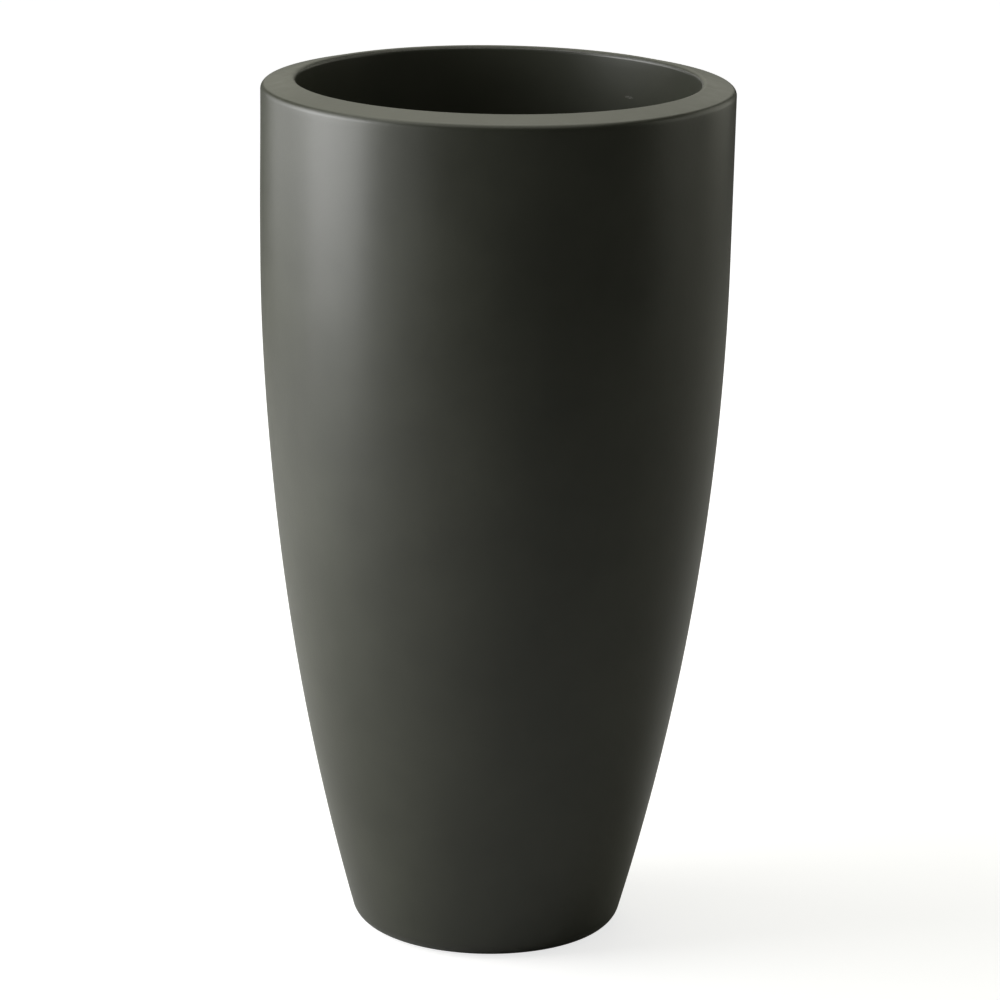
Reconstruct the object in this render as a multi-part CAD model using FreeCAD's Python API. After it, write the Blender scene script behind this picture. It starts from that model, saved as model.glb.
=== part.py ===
import FreeCAD, Part

import math
import os

# Tall round planter in fibreglass-reinforced polyester. All lengths are millimetres and angles degrees.
# The origin is the centre of the foot on the ground, +Z is up. All but the drain plug's finger tab is
# a figure of revolution about Z, so profiles are drawn in the XZ plane as (radius, height) and revolved.
#
# The pieces, from the outside in:
#   outer_shell   hand-laid laminate: collar, long curved wall, rounded foot and a stepped base flange
#   rim_moulding  sloping rim with a joggled lap flange outside and a deep return skirt inside
#   rim_bond      adhesive between the lap flange and the shell, with its squeezed-out bead
#   floor_pan     dished floor laid on the base flange, with a thickened drain boss
#   floor_bond    laminated cove that ties the floor to the wall all round
#   drain_plug    rubber stopper that lifts straight up out of the drain

# Outside form
overall_height = 800.0
rim_radius = 215.5              # to the sharp corner that the rim's outer rounding replaces
foot_radius = 121.9             # where the wall's curve would meet the ground without the foot rounding
foot_rounding = 20.0
collar_start = 636.0            # height at which the straight collar runs out of the long curve
collar_draft = 0.55             # the collar still opens upwards by this angle

# Rim
rim_width = 31.7                # from the opening to rim_radius
rim_slope = 12.8                # the rim falls away outwards by this angle
rim_outer_rounding = 5.7
rim_inner_rounding = 4.4
rim_laminate = 4.0
skirt_depth = 98.0              # return skirt, measured from the crest of the rim
skirt_laminate = 3.6
under_rim_rounding = 6.0        # inside corners below the rim, filled with resin

# Joggled lap between the rim and the shell
seam_drop = 16.0                # the seam lies this far below the crest
lap_length = 34.0
lap_laminate = 3.5
bond_thickness = 1.0
bead_height = 7.0               # adhesive squeezed out below the lap flange
bead_cover = 2.2                # how far that bead reaches in under the flange
bead_hollow = 0.35              # share of the way to the corner by which beads and coves are tooled hollow

# Shell laminate and its stepped base flange
shell_laminate = 4.5
recess_height = 14.0            # free height under the floor
recess_radius = 70.0            # hole in the base flange
ledge_width = 13.0              # flat ledge that carries the floor
step_angle = 60.0               # steepness of the step from the ledge to the foot ring
ledge_rounding = 3.0
foot_ring_rounding = 8.0

# Floor
floor_laminate = 5.0
floor_edge_gap = 0.6            # trimming gap between the floor's edge and the wall
dish_radius = 62.0              # the floor falls towards the drain inside this radius
dish_drop = 3.0
dish_rounding = 60.0
boss_radius = 25.0
boss_thickness = 9.0
cove_leg = 16.0                 # reach of the laminated cove on the floor
cove_rise = 20.0                # and up the wall

# Drain and plug
drain_radius = 13.0
plug_clearance = 0.35           # around the top of the plug's taper
plug_taper = 5.0                # per side
plug_length = 13.0              # of the tapered stem
plug_head_overlap = 5.5         # how far the head covers the boss around the drain
plug_head_thickness = 3.6
plug_core_radius = 6.5          # blind hollow moulded into the stem from below
plug_core_depth = 8.0
tab_width = 15.0
tab_height = 15.0
tab_thickness = 4.0
tab_hole_radius = 3.0

os.makedirs("parts", exist_ok=True)


def point(radius, height):
    return FreeCAD.Vector(radius, 0.0, height)


def slope(degrees):
    return math.tan(math.radians(degrees))


# ---------------------------------------------------------------------------------------------
# The wall's outside profile: a foot rounding, one long arc and a straight drafted collar.
# Everything that lies against the wall is drawn from the same profile at an inset.
# ---------------------------------------------------------------------------------------------
draft = math.radians(collar_draft)
fall = math.radians(rim_slope)
opening_radius = rim_radius - rim_width

# Sharp corners of the rim, placed so that the rounded crest just reaches the overall height
crest_height = overall_height + rim_inner_rounding * (math.tan(fall) + 1.0 / math.cos(fall) - 1.0)
brow_height = crest_height - rim_width * math.tan(fall)

collar_out = point(math.cos(draft), -math.sin(draft))
collar_foot = point(rim_radius - (brow_height - collar_start) * math.tan(draft), collar_start)
foot_corner = point(foot_radius, 0.0)

# The long arc is tangent to the collar at its foot and aims at the foot corner
chord = foot_corner - collar_foot
wall_arc_radius = chord.dot(chord) / (-2.0 * chord.dot(collar_out))
wall_arc_centre = collar_foot - collar_out * wall_arc_radius

# The foot rounding is tangent to the ground and to the long arc
reach = wall_arc_radius - foot_rounding
foot_centre = point(
    wall_arc_centre.x + math.sqrt(reach ** 2 - (foot_rounding - wall_arc_centre.z) ** 2),
    foot_rounding,
)
foot_out = (foot_centre - wall_arc_centre).normalize()


def wall_breaks(inset):
    """Heights where the foot rounding ends and where the collar starts, for the wall at an inset."""
    rounding_end = foot_centre.z + foot_out.z * (foot_rounding - inset)
    collar_begin = wall_arc_centre.z + collar_out.z * (wall_arc_radius - inset)
    return rounding_end, collar_begin


def wall_point(height, inset):
    """Point at this height on the wall's profile, moved square to the wall by the inset."""
    rounding_end, collar_begin = wall_breaks(inset)
    if height > collar_begin:
        start = wall_arc_centre.x + collar_out.x * (wall_arc_radius - inset)
        return point(start + (height - collar_begin) * math.tan(draft), height)
    if height < rounding_end:
        centre, radius = foot_centre, foot_rounding - inset
    else:
        centre, radius = wall_arc_centre, wall_arc_radius - inset
    return point(centre.x + math.sqrt(radius ** 2 - (height - centre.z) ** 2), height)


def wall_edges(low, high, inset):
    """Edges that follow the wall at an inset, from one height up to another."""
    stops = [low] + [z for z in wall_breaks(inset) if low < z < high] + [high]
    edges = []
    for bottom, top in zip(stops, stops[1:]):
        ends = wall_point(bottom, inset), wall_point(top, inset)
        if bottom >= wall_breaks(inset)[1]:
            edges.append(Part.LineSegment(*ends).toShape())
        else:
            middle = wall_point((bottom + top) / 2.0, inset)
            edges.append(Part.Arc(ends[0], middle, ends[1]).toShape())
    return edges


# ---------------------------------------------------------------------------------------------
# Profiles and solids
# ---------------------------------------------------------------------------------------------
def rounded_edges(corners):
    """Straight runs through (point, rounding) corners, each inner corner replaced by a tangent arc."""
    edges = []
    here = corners[0][0]
    for (before, _), (corner, rounding), (after, _) in zip(corners, corners[1:], corners[2:]):
        back = (before - corner).normalize()
        ahead = (after - corner).normalize()
        half_turn = back.getAngle(ahead) / 2.0
        if rounding == 0.0:
            edges.append(Part.LineSegment(here, corner).toShape())
            here = corner
            continue
        trim = rounding / math.tan(half_turn)
        bisector = (back + ahead).normalize()
        centre = corner + bisector * (rounding / math.sin(half_turn))
        start, end = corner + back * trim, corner + ahead * trim
        edges.append(Part.LineSegment(here, start).toShape())
        edges.append(Part.Arc(start, centre - bisector * rounding, end).toShape())
        here = end
    edges.append(Part.LineSegment(here, corners[-1][0]).toShape())
    return edges


def revolve(edges):
    """Solid of revolution about Z from the edges of one closed section."""
    section = Part.Face(Part.Wire(Part.sortEdges(edges)[0]))
    return section.revolve(FreeCAD.Vector(0, 0, 0), FreeCAD.Vector(0, 0, 1), 360.0)


def hollow_face(start, end, corner):
    """Concave arc of a bead or cove between two points, drawn in towards the corner that it fills."""
    middle = (start + end) * 0.5
    return Part.Arc(start, middle + (corner - middle) * bead_hollow, end).toShape()


def closed_section(corners):
    """Closed rounded section that starts and ends at the same unrounded corner."""
    return rounded_edges(corners + [corners[0]])


seam_height = overall_height - seam_drop
lap_end_height = seam_height - lap_length
floor_seat_height = recess_height + shell_laminate
floor_top_height = floor_seat_height + floor_laminate
drain_top_height = floor_top_height - dish_drop


def base_edges(inset):
    """Base of the shell from the hole in its flange to the foot rounding, at a height inset."""
    run = recess_height / slope(step_angle)
    ledge_end = point(recess_radius + ledge_width, recess_height)
    ring_start = point(ledge_end.x + run, 0.0)
    # Both corners of the step move along their bisectors as the laminate gains thickness
    half_step = math.radians(step_angle) / 2.0
    shift = point(inset * math.tan(half_step), inset)
    return rounded_edges([
        (point(recess_radius, recess_height + inset), 0.0),
        (ledge_end + shift, ledge_rounding + inset),
        (ring_start + shift, foot_ring_rounding - inset),
        (point(foot_centre.x, inset), 0.0),
    ])


def make_outer_shell():
    outside = base_edges(0.0) + wall_edges(0.0, seam_height, 0.0)
    inside = base_edges(shell_laminate) + wall_edges(shell_laminate, seam_height, shell_laminate)
    flange_end = Part.LineSegment(
        point(recess_radius, recess_height),
        point(recess_radius, floor_seat_height),
    ).toShape()
    seam_edge = Part.LineSegment(
        wall_point(seam_height, 0.0),
        wall_point(seam_height, shell_laminate),
    ).toShape()
    return revolve(outside + inside + [flange_end, seam_edge])


def make_rim_moulding():
    joggle = shell_laminate + bond_thickness
    skirt_end = overall_height - skirt_depth
    skirt_back = opening_radius + skirt_laminate
    lap_back = wall_point(seam_height, joggle + lap_laminate).x

    def underside(radius):
        below = rim_laminate / math.cos(fall)
        return point(radius, crest_height - below - (radius - opening_radius) * math.tan(fall))

    return revolve(closed_section([
        (point(opening_radius, skirt_end), 0.0),
        (point(opening_radius, crest_height), rim_inner_rounding),
        (point(rim_radius, brow_height), rim_outer_rounding),
        (wall_point(seam_height, 0.0), 0.0),
        (wall_point(seam_height, joggle), 0.0),
        (wall_point(lap_end_height, joggle), 0.0),
        (wall_point(lap_end_height, joggle + lap_laminate), 0.0),
        (underside(lap_back), under_rim_rounding),
        (underside(skirt_back), under_rim_rounding),
        (point(skirt_back, skirt_end), 0.0),
    ]))


def make_rim_bond():
    joggle = shell_laminate + bond_thickness
    against_shell = wall_edges(lap_end_height - bead_height, seam_height, shell_laminate)
    lap_end = wall_point(lap_end_height, joggle)
    bead_lip = lap_end - point(bead_cover, 0.0)
    bead_toe = wall_point(lap_end_height - bead_height, shell_laminate)
    against_rim = rounded_edges([
        (wall_point(seam_height, shell_laminate), 0.0),
        (wall_point(seam_height, joggle), 0.0),
        (lap_end, 0.0),
        (bead_lip, 0.0),
    ])
    return revolve(against_shell + against_rim + [hollow_face(bead_toe, bead_lip, lap_end)])


floor_radius = wall_point(floor_seat_height, shell_laminate).x - floor_edge_gap


def make_floor_pan():
    drain_seat = drain_top_height
    boss_bottom = drain_seat - boss_thickness
    dish_bottom = drain_seat - floor_laminate
    return revolve(closed_section([
        (point(drain_radius, boss_bottom), 0.0),
        (point(drain_radius, drain_seat), 0.0),
        (point(boss_radius, drain_seat), dish_rounding),
        (point(dish_radius, floor_top_height), dish_rounding),
        (point(floor_radius, floor_top_height), 0.0),
        (point(floor_radius, floor_seat_height), 0.0),
        (point(dish_radius, floor_seat_height), dish_rounding),
        (point(boss_radius, dish_bottom), 0.0),
        (point(boss_radius, boss_bottom), 0.0),
    ]))


def make_floor_bond():
    """Tooled cove between the floor and the wall, also filling the trimming gap beside the floor."""
    low, high = floor_seat_height, floor_top_height + cove_rise
    corner = wall_point(floor_top_height, shell_laminate)
    toe = corner - point(cove_leg, 0.0)
    return revolve(wall_edges(low, high, shell_laminate) + [
        hollow_face(toe, wall_point(high, shell_laminate), corner),
        Part.LineSegment(toe, point(floor_radius, floor_top_height)).toShape(),
        Part.LineSegment(point(floor_radius, floor_top_height), point(floor_radius, low)).toShape(),
        Part.LineSegment(point(floor_radius, low), wall_point(low, shell_laminate)).toShape(),
    ])


def make_drain_plug():
    """Hollow tapered stopper with a flat head and a pierced finger tab, seated on the drain boss."""
    seat = drain_top_height
    head_radius = drain_radius + plug_head_overlap
    head_top = seat + plug_head_thickness
    stem_top = drain_radius - plug_clearance
    stem_end = stem_top - plug_length * slope(plug_taper)
    core_end = plug_core_depth - plug_length
    body = revolve(closed_section([
        (point(0.0, head_top), 0.0),
        (point(head_radius, head_top), 0.0),
        (point(head_radius, seat), 0.0),
        (point(stem_top, seat), 0.0),
        (point(stem_end, seat - plug_length), 0.0),
        (point(plug_core_radius, seat - plug_length), 0.0),
        (point(plug_core_radius, seat + core_end), 0.0),
        (point(0.0, seat + core_end), 0.0),
    ]))

    half_width = tab_width / 2.0
    root_height = head_top - plug_head_thickness / 2.0
    arc_height = head_top + tab_height - half_width
    face_y = FreeCAD.Vector(0.0, -tab_thickness / 2.0, 0.0)
    left_root, right_root = point(-half_width, root_height) + face_y, point(half_width, root_height) + face_y
    left_arc, right_arc = point(-half_width, arc_height) + face_y, point(half_width, arc_height) + face_y
    outline = Part.Wire([
        Part.LineSegment(left_root, right_root).toShape(),
        Part.LineSegment(right_root, right_arc).toShape(),
        Part.Arc(right_arc, point(0.0, arc_height + half_width) + face_y, left_arc).toShape(),
        Part.LineSegment(left_arc, left_root).toShape(),
    ])
    tab = Part.Face(outline).extrude(FreeCAD.Vector(0.0, tab_thickness, 0.0))
    hole = Part.makeCylinder(
        tab_hole_radius,
        tab_thickness,
        point(0.0, arc_height) + face_y,
        FreeCAD.Vector(0, 1, 0),
    )
    return body.fuse(tab).cut(hole).removeSplitter()


pieces = {
    "outer_shell": make_outer_shell(),
    "rim_moulding": make_rim_moulding(),
    "rim_bond": make_rim_bond(),
    "floor_pan": make_floor_pan(),
    "floor_bond": make_floor_bond(),
    "drain_plug": make_drain_plug(),
}

for name, shape in pieces.items():
    solid = shape.Solids[0]
    print(name, "solids", len(shape.Solids), "valid", solid.isValid(), "volume", round(solid.Volume))
    solid.exportStep("parts/" + name + ".step")
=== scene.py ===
import math

import bmesh
import bpy
import numpy as np
from mathutils import Matrix, Vector


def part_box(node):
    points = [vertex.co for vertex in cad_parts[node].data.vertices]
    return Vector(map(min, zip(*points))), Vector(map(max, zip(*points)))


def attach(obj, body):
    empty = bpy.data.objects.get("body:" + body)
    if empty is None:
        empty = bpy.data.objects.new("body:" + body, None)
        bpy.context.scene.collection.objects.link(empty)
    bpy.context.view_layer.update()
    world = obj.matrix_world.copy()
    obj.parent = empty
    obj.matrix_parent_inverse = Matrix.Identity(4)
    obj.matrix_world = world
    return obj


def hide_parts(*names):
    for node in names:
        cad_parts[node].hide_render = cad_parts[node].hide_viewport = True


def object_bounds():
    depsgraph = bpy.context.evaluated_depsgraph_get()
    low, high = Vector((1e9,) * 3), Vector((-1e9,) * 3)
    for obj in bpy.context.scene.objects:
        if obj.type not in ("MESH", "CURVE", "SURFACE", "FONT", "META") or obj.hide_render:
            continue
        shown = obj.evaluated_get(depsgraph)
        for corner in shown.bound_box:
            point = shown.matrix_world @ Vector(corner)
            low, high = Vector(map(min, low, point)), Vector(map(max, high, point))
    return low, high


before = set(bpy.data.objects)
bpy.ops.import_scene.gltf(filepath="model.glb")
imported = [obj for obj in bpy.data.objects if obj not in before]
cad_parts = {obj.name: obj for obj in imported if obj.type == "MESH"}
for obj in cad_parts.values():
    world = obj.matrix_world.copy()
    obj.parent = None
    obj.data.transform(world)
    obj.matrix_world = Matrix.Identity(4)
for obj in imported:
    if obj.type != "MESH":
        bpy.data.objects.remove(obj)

# Tall round fibreglass planter: satin charcoal paint outside and over the rim, brushed dark grey flow
# coat over chopped-strand laminate inside. Units are metres, +Z up, the foot's centre on the ground at
# the origin. All but the plug's finger tab is a surface of revolution: a profile of (radius, height)
# points turned through a row of angles.

cad_low, cad_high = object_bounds()
mm = 0.001

# ---------------------------------------------------------------------------------------------
# Sizes: places come from the frame's boxes, the rest repeats the planter's driving dimensions
# ---------------------------------------------------------------------------------------------
overall_height = cad_high.z
seam_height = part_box("outer_shell")[1].z
skirt_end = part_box("rim_moulding")[0].z
bead_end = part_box("rim_bond")[0].z
floor_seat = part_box("floor_bond")[0].z
cove_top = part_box("floor_bond")[1].z
floor_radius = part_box("floor_pan")[1].x
floor_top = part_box("floor_pan")[1].z
boss_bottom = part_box("floor_pan")[0].z
plug_head_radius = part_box("drain_plug")[1].x
plug_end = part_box("drain_plug")[0].z
tab_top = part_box("drain_plug")[1].z

rim_radius = 215.5 * mm
foot_radius = 121.9 * mm
foot_rounding = 20.0 * mm
collar_start = 636.0 * mm
collar_draft = math.radians(0.55)

rim_width = 31.7 * mm
rim_slope = math.radians(12.8)
rim_outer_rounding = 5.7 * mm
rim_inner_rounding = 4.4 * mm
rim_laminate = 4.0 * mm
skirt_laminate = 3.6 * mm
under_rim_rounding = 6.0 * mm
lap_length = 34.0 * mm
lap_laminate = 3.5 * mm
bond_thickness = 1.0 * mm
bead_cover = 2.2 * mm
bead_hollow = 0.35

shell_laminate = 4.5 * mm
recess_height = 14.0 * mm
recess_radius = 70.0 * mm
ledge_width = 13.0 * mm
step_angle = math.radians(60.0)
ledge_rounding = 3.0 * mm
foot_ring_rounding = 8.0 * mm

floor_laminate = 5.0 * mm
dish_radius = 62.0 * mm
dish_drop = 3.0 * mm
dish_rounding = 60.0 * mm
boss_radius = 25.0 * mm
drain_radius = 13.0 * mm
cove_leg = 16.0 * mm

plug_clearance = 0.35 * mm
plug_taper = math.radians(5.0)
plug_head_thickness = 3.6 * mm
plug_core_radius = 6.5 * mm
plug_core_depth = 8.0 * mm
tab_width = 15.0 * mm
tab_thickness = 4.0 * mm
tab_hole_radius = 3.0 * mm

cut_rounding = 0.7 * mm         # broken edge left by sanding where a laminate was trimmed
rubber_rounding = 1.1 * mm
out_of_round = 0.2 * mm         # a laminate taken warm from its mould is never a true circle
wall_fullness = 1.1 * mm
fullness_rise = (0.42, 0.62)    # heights over which the fullness comes in, and goes again
fullness_fall = (0.66, 0.79)
hidden = 0.4 * mm               # how far pastes reach into the shell, so that no gap shows
skirt_limit = 190.0 * mm        # the rim's sections inside this radius are its skirt, those outside its lap
sharp_angle = math.radians(38.0)

lap_end = seam_height - lap_length
drain_top = floor_top - dish_drop
opening_radius = rim_radius - rim_width
joggle = shell_laminate + bond_thickness

# ---------------------------------------------------------------------------------------------
# The wall's outside profile: foot rounding, one long arc, straight drafted collar
# ---------------------------------------------------------------------------------------------
crest = overall_height + rim_inner_rounding * (math.tan(rim_slope) + 1.0 / math.cos(rim_slope) - 1.0)
brow = crest - rim_width * math.tan(rim_slope)
collar_out = np.array([math.cos(collar_draft), -math.sin(collar_draft)])
collar_foot = np.array([rim_radius - (brow - collar_start) * math.tan(collar_draft), collar_start])
chord = np.array([foot_radius, 0.0]) - collar_foot
wall_arc_radius = chord @ chord / (-2.0 * (chord @ collar_out))
wall_arc_centre = collar_foot - collar_out * wall_arc_radius
foot_reach = wall_arc_radius - foot_rounding
foot_centre = np.array([
    wall_arc_centre[0] + math.sqrt(foot_reach ** 2 - (foot_rounding - wall_arc_centre[1]) ** 2),
    foot_rounding,
])
foot_out = (foot_centre - wall_arc_centre) / np.linalg.norm(foot_centre - wall_arc_centre)


def wall_radius(height, inset):
    """Radius of the wall moved inwards square to itself by the inset: from its circle's equation on the
    foot rounding and on the long arc, and by the draft up the collar."""
    height = np.asarray(height, float)
    small, large = foot_rounding - inset, wall_arc_radius - inset
    rounding_end = foot_centre[1] + foot_out[1] * small
    collar_begin = wall_arc_centre[1] + collar_out[1] * large
    on_foot = foot_centre[0] + np.sqrt(np.maximum(small ** 2 - (height - foot_centre[1]) ** 2, 0.0))
    on_arc = wall_arc_centre[0] + np.sqrt(large ** 2 - (height - wall_arc_centre[1]) ** 2)
    on_collar = wall_arc_centre[0] + collar_out[0] * large + (height - collar_begin) * math.tan(collar_draft)
    return np.where(height < rounding_end, on_foot, np.where(height > collar_begin, on_collar, on_arc))


def wall_point(height, inset):
    return np.array([float(wall_radius(height, inset)), height])


def wall_path(low, high, inset, spacing):
    """Profile points up the wall between two heights: evenly spaced in angle on the foot rounding, and
    in height above it."""
    rounding_end = foot_centre[1] + foot_out[1] * (foot_rounding - inset)
    parts = []
    if low < rounding_end:
        first = math.asin(max(-1.0, (low - foot_centre[1]) / (foot_rounding - inset)))
        angles = np.linspace(first, math.asin(foot_out[1]), 20)[:, None]
        around = np.hstack([np.cos(angles), np.sin(angles)])
        parts.append(foot_centre + (foot_rounding - inset) * around)
        low = rounding_end
    heights = np.linspace(low, high, max(2, int((high - low) / spacing) + 2))
    parts.append(np.stack([wall_radius(heights, inset), heights], axis=1))
    return np.vstack(parts)


# ---------------------------------------------------------------------------------------------
# Profiles
# ---------------------------------------------------------------------------------------------
def straight(start, end, spacing):
    """Evenly spaced points from start to end, no further apart than the spacing."""
    share = np.linspace(0.0, 1.0, max(1, math.ceil(np.linalg.norm(end - start) / spacing)) + 1)[:, None]
    return start * (1.0 - share) + end * share


def rounded(corners, spacing=0.008, turn=math.radians(6.0)):
    """Profile through (radius, height, rounding) corners: straight runs, and at each corner that has a
    rounding the arc of that radius tangent to both runs, a step of the turn at a time."""
    places = [np.array(corner[:2], float) for corner in corners]
    parts = []
    here = places[0]
    for before, corner, after, (_, _, rounding) in zip(places, places[1:], places[2:], corners[1:]):
        if rounding == 0.0:
            parts.append(straight(here, corner, spacing))
            here = corner
            continue
        back = (before - corner) / np.linalg.norm(before - corner)
        ahead = (after - corner) / np.linalg.norm(after - corner)
        half = math.acos(max(-1.0, min(1.0, back @ ahead))) / 2.0
        bisector = (back + ahead) / np.linalg.norm(back + ahead)
        centre = corner + bisector * rounding / math.sin(half)
        start, end = corner + back * rounding / math.tan(half), corner + ahead * rounding / math.tan(half)
        parts.append(straight(here, start, spacing))
        sweep = math.pi - 2.0 * half
        steps = np.linspace(-0.5, 0.5, max(3, int(sweep / turn) + 2))[:, None] * sweep
        side = (start - end) / np.linalg.norm(start - end)
        parts.append(centre - rounding * (np.cos(steps) * bisector + np.sin(steps) * side))
        here = end
    parts.append(straight(here, places[-1], spacing))
    return np.vstack(parts)


def hollow(start, end, corner, share):
    """Concave parabola from start to end, its middle drawn towards the corner by the share."""
    middle = (start + end) / 2.0
    t = np.linspace(0.0, 1.0, 13)[:, None]
    return start * (1.0 - t) + end * t + (corner - middle) * share * 4.0 * t * (1.0 - t)


def closed_profile(parts):
    """One anticlockwise loop from parts that follow each other, without repeated points."""
    points = np.vstack(parts)
    points = points[np.linalg.norm(points - np.roll(points, 1, axis=0), axis=1) > 1e-6]
    following = np.roll(points, -1, axis=0)
    area = np.sum(points[:, 0] * following[:, 1] - following[:, 0] * points[:, 1])
    return points if area > 0.0 else points[::-1]


# ---------------------------------------------------------------------------------------------
# Handmade unevenness
# ---------------------------------------------------------------------------------------------
def ease(value, low, high):
    """Smooth step from 0 at low to 1 at high."""
    t = np.clip((value - low) / (high - low), 0.0, 1.0)
    return t * t * (3.0 - 2.0 * t)


def waves(angle, height, seed, most_lobes=24, climb=60.0):
    """Sum of 18 waves, each with a whole number of lobes round the planter and a random slant and phase,
    so that it closes on itself. Mostly between -1 and 1."""
    chance = np.random.default_rng(seed)
    total = np.zeros(np.broadcast(angle, height).shape)
    for _ in range(18):
        slant = chance.uniform(-climb, climb)
        phase = chance.integers(2, most_lobes) * angle + slant * height + chance.uniform(0.0, 6.28)
        total += chance.uniform(0.3, 1.0) * np.sin(phase)
    return total / 5.0


def settled(angle, radius, height):
    """Departures from a true circle that all bonded pieces share: a three-lobed ovality of the rim, only
    inwards, and a slight fullness of the wall below the collar on the left."""
    oval = out_of_round * (0.5 + 0.5 * np.cos(3.0 * angle - 1.1)) * (height / overall_height) ** 2
    fullness = ease(height, *fullness_rise) * (1.0 - ease(height, *fullness_fall))
    full = wall_fullness * np.maximum(0.0, -np.cos(angle)) ** 2 * fullness
    return radius - oval * radius / rim_radius + full


# ---------------------------------------------------------------------------------------------
# Meshes
# ---------------------------------------------------------------------------------------------
def mesh_piece(name, vertices, quads, uv, worn, finish, materials):
    """Object at the origin from arrays: vertices, quads, a UV per corner, a wear share per vertex and a
    material number per quad."""
    mesh = bpy.data.meshes.new(name)
    mesh.vertices.add(len(vertices))
    mesh.vertices.foreach_set("co", vertices.astype(np.float32).ravel())
    mesh.loops.add(quads.size)
    mesh.loops.foreach_set("vertex_index", quads.astype(np.int32).ravel())
    mesh.polygons.add(len(quads))
    mesh.polygons.foreach_set("loop_start", np.arange(0, quads.size, 4, dtype=np.int32))
    for material in materials:
        mesh.materials.append(material)
    mesh.polygons.foreach_set("material_index", finish.astype(np.int32))
    mesh.uv_layers.new(name="surface").uv.foreach_set("vector", uv.astype(np.float32).ravel())
    mesh.attributes.new("worn", "FLOAT", "POINT").data.foreach_set("value", worn.astype(np.float32))
    mesh.update(calc_edges=True)
    mesh.validate()
    mesh.shade_smooth()
    mesh.set_sharp_from_angle(angle=sharp_angle)
    piece = bpy.data.objects.new(name, mesh)
    bpy.context.scene.collection.objects.link(piece)
    return piece


def lattice(columns, rows):
    """Quads of a grid that closes on itself both ways, with its (column, row) numbers."""
    i, j = np.meshgrid(np.arange(columns), np.arange(rows), indexing="ij")
    after_i, after_j = (i + 1) % columns, (j + 1) % rows
    corners = [i * rows + j, after_i * rows + j, after_i * rows + after_j, i * rows + after_j]
    return i, j, np.stack(corners, axis=-1).reshape(-1, 4)


def lattice_uv(i, j, across, along):
    """UV corners of the lattice's quads, from the length of a column step and the length up to each row."""
    low, high = along[j], along[j + 1]
    left, right = i * across, (i + 1) * across
    corners = [(left, low), (right, low), (right, high), (left, high)]
    return np.stack([np.stack(corner, axis=-1) for corner in corners], axis=-2).reshape(-1, 2)


def revolved(name, parts, materials, finish=None, uneven=None, worn=None, columns=320):
    """Closed surface of revolution: vertex (i, j) is profile point j turned through angle i, after the
    uneven function has moved its radius and height. The UV map is in metres, angle times rim radius
    across and length along the profile up."""
    profile = closed_profile(parts)
    following = np.roll(profile, -1, axis=0)
    along = np.concatenate([[0.0], np.cumsum(np.linalg.norm(following - profile, axis=1))])
    rows = len(profile)
    angle = np.linspace(0.0, 2.0 * math.pi, columns, endpoint=False)[:, None]
    radius = np.repeat(profile[None, :, 0], columns, axis=0)
    height = np.repeat(profile[None, :, 1], columns, axis=0)
    wear = np.zeros_like(radius) if worn is None else worn(angle, radius, height) + 0.0 * radius
    if uneven is not None:
        radius, height = uneven(angle, radius, height)
    radius = settled(angle, radius, height)
    vertices = np.stack([radius * np.cos(angle), radius * np.sin(angle), height], axis=-1).reshape(-1, 3)
    i, j, quads = lattice(columns, rows)
    middle = (profile + following) / 2.0
    runs = np.zeros(rows) if finish is None else finish(middle[:, 0], middle[:, 1])
    uv = lattice_uv(i, j, 2.0 * math.pi / columns * rim_radius, along)
    return mesh_piece(name, vertices, quads, uv, wear.ravel(), runs[j].ravel(), materials)


# ---------------------------------------------------------------------------------------------
# Materials
# ---------------------------------------------------------------------------------------------
def feed(tree, socket, value):
    """Input socket set to a value, or linked from another socket."""
    if isinstance(value, bpy.types.NodeSocket):
        tree.links.new(value, socket)
    else:
        socket.default_value = value


def add(tree, kind, inputs=None, **settings):
    """New node with its settings, and its inputs fed."""
    made = tree.nodes.new(kind)
    for key, value in settings.items():
        setattr(made, key, value)
    for key, value in (inputs or {}).items():
        feed(tree, made.inputs[key], value)
    return made


def calc(tree, operation, first, second=0.0, third=0.0, clamp=False):
    values = {0: first, 1: second, 2: third}
    return add(tree, "ShaderNodeMath", values, operation=operation, use_clamp=clamp).outputs[0]


def spread(tree, value, low, high, to_low=0.0, to_high=1.0):
    """Value from low to high turned into to_low to to_high, and held beyond them."""
    values = {"Value": value, "From Min": low, "From Max": high, "To Min": to_low, "To Max": to_high}
    return add(tree, "ShaderNodeMapRange", values).outputs["Result"]


def blend_colour(tree, share, first, second):
    made = add(tree, "ShaderNodeMix", data_type="RGBA")
    for key, value in {"Factor": share, "A": first, "B": second}.items():
        fitting = [s for s in made.inputs if s.name == key and (key == "Factor" or s.type == "RGBA")]
        feed(tree, fitting[0], value)
    return next(s for s in made.outputs if s.type == "RGBA")


def noise(tree, place, scale, detail=2.0, roughness=0.5, distortion=0.0):
    values = {"Vector": place, "Scale": scale, "Detail": detail}
    values.update({"Roughness": roughness, "Distortion": distortion})
    return add(tree, "ShaderNodeTexNoise", values).outputs["Fac"]


def stretched(tree, place, turn, scale):
    """Place turned about Z and then scaled, to draw a pattern out in one direction."""
    turned = add(tree, "ShaderNodeMapping", {"Vector": place, "Rotation": (0.0, 0.0, turn)}).outputs[0]
    return add(tree, "ShaderNodeMapping", {"Vector": turned, "Scale": scale}).outputs[0]


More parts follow.
